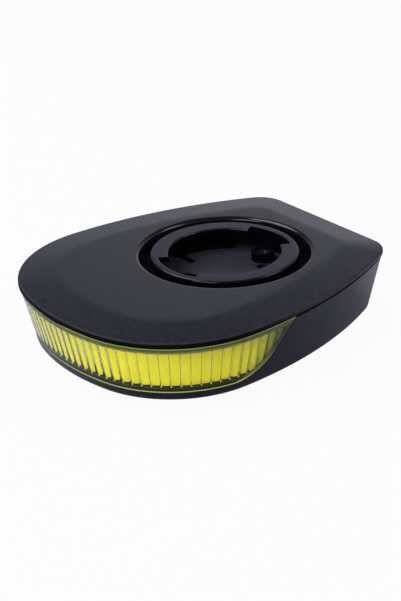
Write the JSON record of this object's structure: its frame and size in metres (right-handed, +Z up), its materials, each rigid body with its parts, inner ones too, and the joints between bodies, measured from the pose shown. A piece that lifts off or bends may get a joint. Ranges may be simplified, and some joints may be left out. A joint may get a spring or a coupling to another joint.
{
  "type": "bicycle headlight",
  "caption": "Flat bicycle headlight with a wrap-round fluted lens, a quarter-turn foot for a bar mount and a quarter-turn socket for a bike computer on top.",
  "frame": {"origin": "on the axis of the foot and of the socket, at the level of the foot's lower face", "axes": "-Y points where the light shines, +Y to the rider, +Z up out of the socket"},
  "size_m": [0.067, 0.077, 0.0186],
  "materials": {
    "cover_plastic": "satin moulded plastic",
    "housing_plastic": "fine satin moulded plastic",
    "socket_plastic": "smooth moulded plastic, glossy in the groove",
    "inner_plastic": "moulded plastic",
    "seal_rubber": "soft silicone",
    "flap_rubber": "soft matt elastomer",
    "lens_plastic": "clear moulded polycarbonate with flutes inside",
    "phosphor": "yellow silicone with phosphor",
    "board_laminate": "solder-masked laminate",
    "flex_laminate": "black solder-masked flexible laminate",
    "carrier_metal": "bare sheet",
    "screw_steel": "stainless steel",
    "black_screw": "black zinc-plated steel",
    "port_metal": "nickel-plated sheet",
    "chip_resin": "moulded resin",
    "small_part_ceramic": "ceramic with tinned ends",
    "coil_ferrite": "ferrite",
    "connector_nylon": "nylon",
    "lead_vinyl": "vinyl insulation",
    "cell_film": "laminated aluminium film",
    "pad_foam": "soft foam",
    "lamp_resin": "clear resin",
    "pipe_plastic": "clear moulded plastic",
    "button_rubber": "soft matt elastomer"
  },
  "bodies": {
    "light": {"top_cover": "cover_plastic", "computer_socket": "socket_plastic", "socket_seal": "seal_rubber", "socket_screws": "black_screw", "cover_seal": "seal_rubber", "lower_housing": "housing_plastic", "cover_screws": "black_screw", "lens": "lens_plastic", "lens_gasket": "seal_rubber", "phosphor_strip": "phosphor", "led_board": "flex_laminate", "led_carrier": "carrier_metal", "carrier_screws": "screw_steel", "led_leads": "lead_vinyl", "led_connector": "connector_nylon", "main_board": "board_laminate", "board_screws": "screw_steel", "driver_chip": "chip_resin", "charge_chip": "chip_resin", "controller_chip": "chip_resin", "board_passives": "small_part_ceramic", "inductor": "coil_ferrite", "usb_shell": "port_metal", "usb_tongue": "inner_plastic", "flap_anchor": "flap_rubber", "switch_body": "inner_plastic", "status_led": "lamp_resin", "light_pipe": "pipe_plastic", "battery_cell": "cell_film", "battery_pad": "pad_foam", "battery_hold_down": "pad_foam", "battery_leads": "lead_vinyl", "battery_connector": "connector_nylon", "foot_plate": "inner_plastic", "foot_screws": "black_screw"},
    "power_button": {"power_button": "button_rubber", "switch_plunger": "inner_plastic"},
    "port_flap": {"port_flap": "flap_rubber"}
  },
  "joints": [
    {"name": "button_press", "type": "slide", "parent": "light", "child": "power_button", "axis": [0, -1, 0], "range_m": [0, 0.0006], "stiffness_N_per_m": 1500, "springref_m": -0.0003},
    {"name": "flap_swing", "type": "hinge", "parent": "light", "child": "port_flap", "pos_m": [0.008, 0.02937, 0.00873], "axis": [-1, 0, 0], "range_deg": [0, 120], "stiffness_Nm_per_rad": 0.0005}
  ]
}
